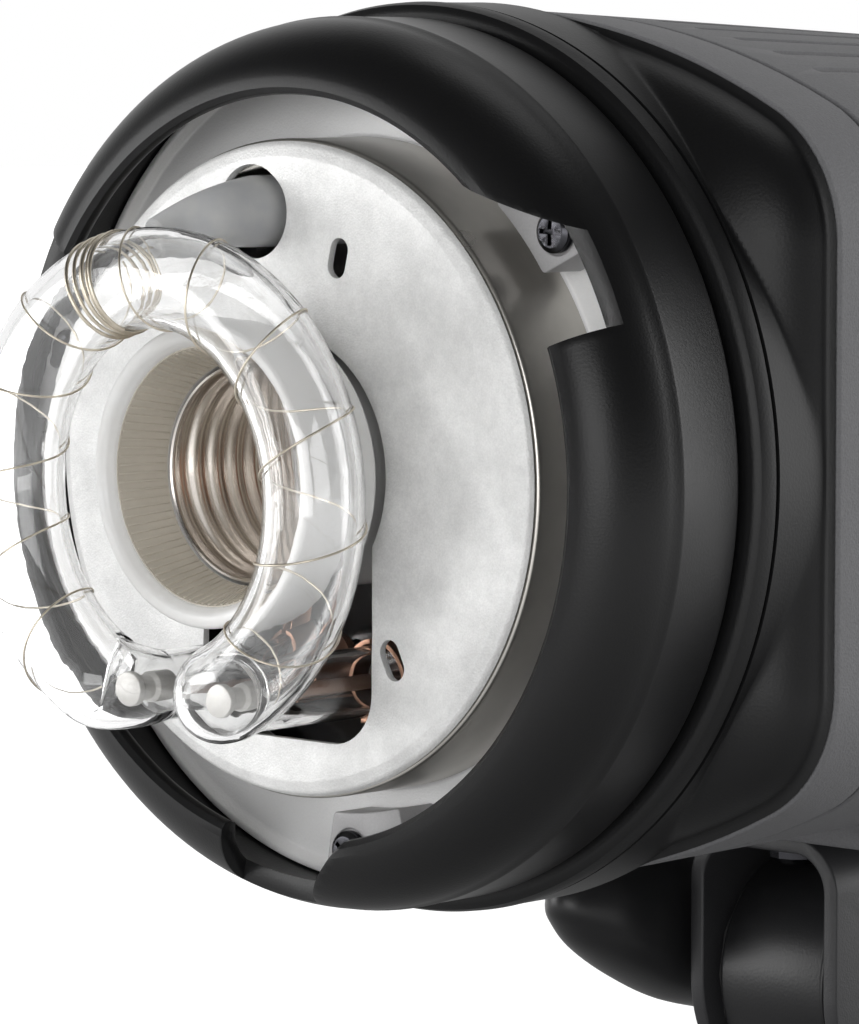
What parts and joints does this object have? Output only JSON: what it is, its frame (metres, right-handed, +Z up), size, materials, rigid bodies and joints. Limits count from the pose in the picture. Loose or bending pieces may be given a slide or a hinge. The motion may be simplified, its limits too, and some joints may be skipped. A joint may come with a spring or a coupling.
{
  "type": "studio flash",
  "caption": "Studio flash head with a ring flash tube, modelling lamp holder, bayonet accessory ring and a tilting stand bracket.",
  "frame": {"origin": "centre of the mouth of the stand socket, at the bottom of the adapter", "axes": "+Z up along the stand, -Y the way the flash points, +X to its left side as the flash looks"},
  "size_m": [0.1308, 0.3311, 0.2172],
  "materials": {
    "black_plastic": "fine-textured black moulding",
    "grey_case": "grey textured moulding",
    "grey_plastic": "satin grey moulding",
    "satin_aluminium": "sandblasted",
    "steel": "plated",
    "black_steel": "black oxide",
    "copper": "bare copper alloy",
    "ceramic": "white steatite",
    "quartz": "clear",
    "silicone": "translucent white",
    "wire": "thin nickel wire",
    "cast_metal": "dark powder coat",
    "black_paint": "fine-textured black paint on steel",
    "rubber": "fibre-filled friction material",
    "circuit_board": "green solder mask",
    "capacitor_sleeve": "shrink sleeve",
    "smoked_window": "smoked, polished"
  },
  "bodies": {
    "adapter": {"stand_adapter": "cast_metal"},
    "stand_screw": {"stand_lock": "black_plastic"},
    "umbrella_screw": {"umbrella_lock": "black_plastic"},
    "head": {"mount_ring": "black_plastic", "ring_tab_1": "grey_plastic", "ring_tab_2": "grey_plastic", "ring_tab_3": "grey_plastic", "tab_screw_1": "black_steel", "tab_screw_2": "black_steel", "tab_screw_3": "black_steel", "front_shroud": "black_plastic", "reflector_can": "satin_aluminium", "reflector_plate": "satin_aluminium", "flash_tube": "quartz", "electrode_1": "steel", "electrode_2": "steel", "tube_clip_1": "copper", "tube_clip_2": "copper", "trigger_sleeve": "silicone", "trigger_wire_right": "wire", "trigger_wire_left": "wire", "lamp_holder": "ceramic", "lamp_thread": "steel", "lamp_contact": "copper", "carrier_plate": "steel", "front_bezel": "grey_case", "upper_cover": "grey_case", "lower_cover": "grey_case", "rear_panel": "black_plastic", "rear_handle": "black_plastic", "display_window": "smoked_window", "inlet_socket": "black_plastic", "switch_frame": "black_plastic", "fuse_holder": "black_plastic", "sync_jack": "steel", "slave_sensor": "smoked_window", "power_board": "circuit_board", "control_board": "circuit_board", "capacitor_1": "capacitor_sleeve", "capacitor_2": "capacitor_sleeve", "trigger_coil": "copper", "fan_frame": "black_plastic", "bracket_fork": "black_paint", "bracket_screw_1": "black_steel", "bracket_screw_2": "black_steel", "tilt_bolt": "steel", "friction_washer_1": "rubber", "friction_washer_2": "rubber"},
    "lever": {"tilt_lever": "black_plastic"},
    "release": {"release_slide": "black_plastic", "lock_pin": "steel"},
    "dial": {"power_dial": "black_plastic"},
    "key_1": {"mode_button_1": "grey_plastic"},
    "key_2": {"mode_button_2": "grey_plastic"},
    "key_3": {"mode_button_3": "grey_plastic"},
    "key_4": {"mode_button_4": "grey_plastic"},
    "test_key": {"test_button": "grey_plastic"},
    "rocker": {"power_rocker": "black_plastic"},
    "fuse": {"fuse_cap": "black_plastic"},
    "rotor": {"fan_rotor": "black_plastic"}
  },
  "joints": [
    {"name": "head_tilt", "type": "hinge", "parent": "adapter", "child": "head", "pos_m": [0, 0, 0.072], "axis": [1, 0, 0], "range_deg": [-90, 90]},
    {"name": "tilt_lever_turn", "type": "hinge", "parent": "head", "child": "lever", "pos_m": [0, 0, 0.072], "axis": [1, 0, 0], "range_deg": [0, 100]},
    {"name": "stand_screw_turn", "type": "hinge", "parent": "adapter", "child": "stand_screw", "pos_m": [0.025, 0, 0.019], "axis": [1, 0, 0], "range_deg": [0, 360]},
    {"name": "umbrella_screw_turn", "type": "hinge", "parent": "adapter", "child": "umbrella_screw", "pos_m": [0.02, 0, 0.0455], "axis": [1, 0, 0], "range_deg": [0, 360]},
    {"name": "release_travel", "type": "slide", "parent": "head", "child": "release", "axis": [0, 1, 0], "range_m": [0, 0.004], "stiffness_N_per_m": 400, "springref_m": -0.003},
    {"name": "dial_turn", "type": "hinge", "parent": "head", "child": "dial", "pos_m": [0, 0.154, 0.144], "axis": [0, 1, 0], "continuous": true},
    {"name": "key_1_press", "type": "slide", "parent": "head", "child": "key_1", "axis": [0, -1, 0], "range_m": [0, 0.0008], "stiffness_N_per_m": 500, "springref_m": -0.001},
    {"name": "key_2_press", "type": "slide", "parent": "head", "child": "key_2", "axis": [0, -1, 0], "range_m": [0, 0.0008], "stiffness_N_per_m": 500, "springref_m": -0.001},
    {"name": "key_3_press", "type": "slide", "parent": "head", "child": "key_3", "axis": [0, -1, 0], "range_m": [0, 0.0008], "stiffness_N_per_m": 500, "springref_m": -0.001},
    {"name": "key_4_press", "type": "slide", "parent": "head", "child": "key_4", "axis": [0, -1, 0], "range_m": [0, 0.0008], "stiffness_N_per_m": 500, "springref_m": -0.001},
    {"name": "test_key_press", "type": "slide", "parent": "head", "child": "test_key", "axis": [0, -1, 0], "range_m": [0, 0.0008], "stiffness_N_per_m": 500, "springref_m": -0.001},
    {"name": "rocker_tip", "type": "hinge", "parent": "head", "child": "rocker", "pos_m": [-0.0015, 0.1547, 0.119], "axis": [1, 0, 0], "range_deg": [0, 16]},
    {"name": "fuse_cap_turn", "type": "hinge", "parent": "head", "child": "fuse", "pos_m": [-0.0205, 0.156, 0.119], "axis": [0, 1, 0], "range_deg": [0, 90]},
    {"name": "fan_spin", "type": "hinge", "parent": "head", "child": "rotor", "pos_m": [0, 0.085, 0.1359], "axis": [0, 1, 0], "continuous": true}
  ]
}
